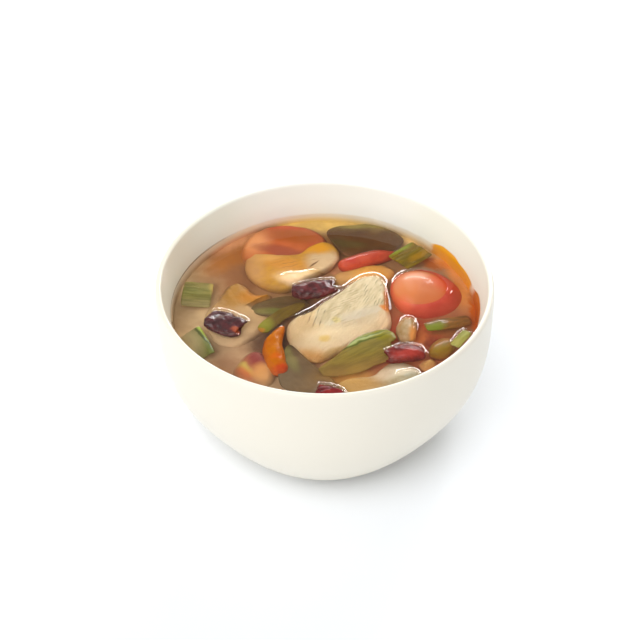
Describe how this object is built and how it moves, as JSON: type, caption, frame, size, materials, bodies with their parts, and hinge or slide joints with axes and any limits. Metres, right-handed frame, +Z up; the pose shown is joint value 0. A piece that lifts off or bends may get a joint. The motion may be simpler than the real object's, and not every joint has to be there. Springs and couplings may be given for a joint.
{
  "type": "bowl of chicken tom yum soup",
  "caption": "Round-rimmed porcelain soup bowl with a squared lower body, filled with clear tom yum broth, chicken slices, tomato, chilies, spring onion and lime leaf.",
  "frame": {"origin": "middle of the bowl's underside, on the plane that the foot ring stands on", "axes": "+Z up through the bowl; the bowl's four soft corners lie on the X and Y axes; -Y is the side nearest the viewer of the reference view"},
  "size_m": [0.1502, 0.1502, 0.074],
  "materials": {
    "porcelain": "cream white glaze, soft gloss",
    "broth": "clear amber broth with a little oil",
    "chicken": "poached breast meat, wet",
    "tomato": "wet tomato skin",
    "red_chili": "wet red chili skin",
    "orange_chili": "wet orange chili skin",
    "dried_chili": "soaked dried chili skin, glossy",
    "scallion": "wet ribbed leaf",
    "lime_leaf": "wet leathery leaf"
  },
  "bodies": {
    "root": {"bowl": "porcelain", "broth": "broth", "chicken_center": "chicken", "chicken_back_left": "chicken", "chicken_front_right": "chicken", "chicken_bit_right": "chicken", "tomato_right": "tomato", "red_chili": "red_chili", "orange_chili": "orange_chili", "dried_chili_left": "dried_chili", "dried_chili_center": "dried_chili", "dried_chili_right": "dried_chili", "dried_chili_front": "dried_chili", "scallion_left": "scallion", "scallion_lower_left": "scallion", "scallion_back_right": "scallion", "green_leaf_center": "lime_leaf", "scallion_right_sliver": "scallion", "scallion_lower_right_a": "scallion", "scallion_lower_right_b": "scallion"}
  },
  "joints": []
}
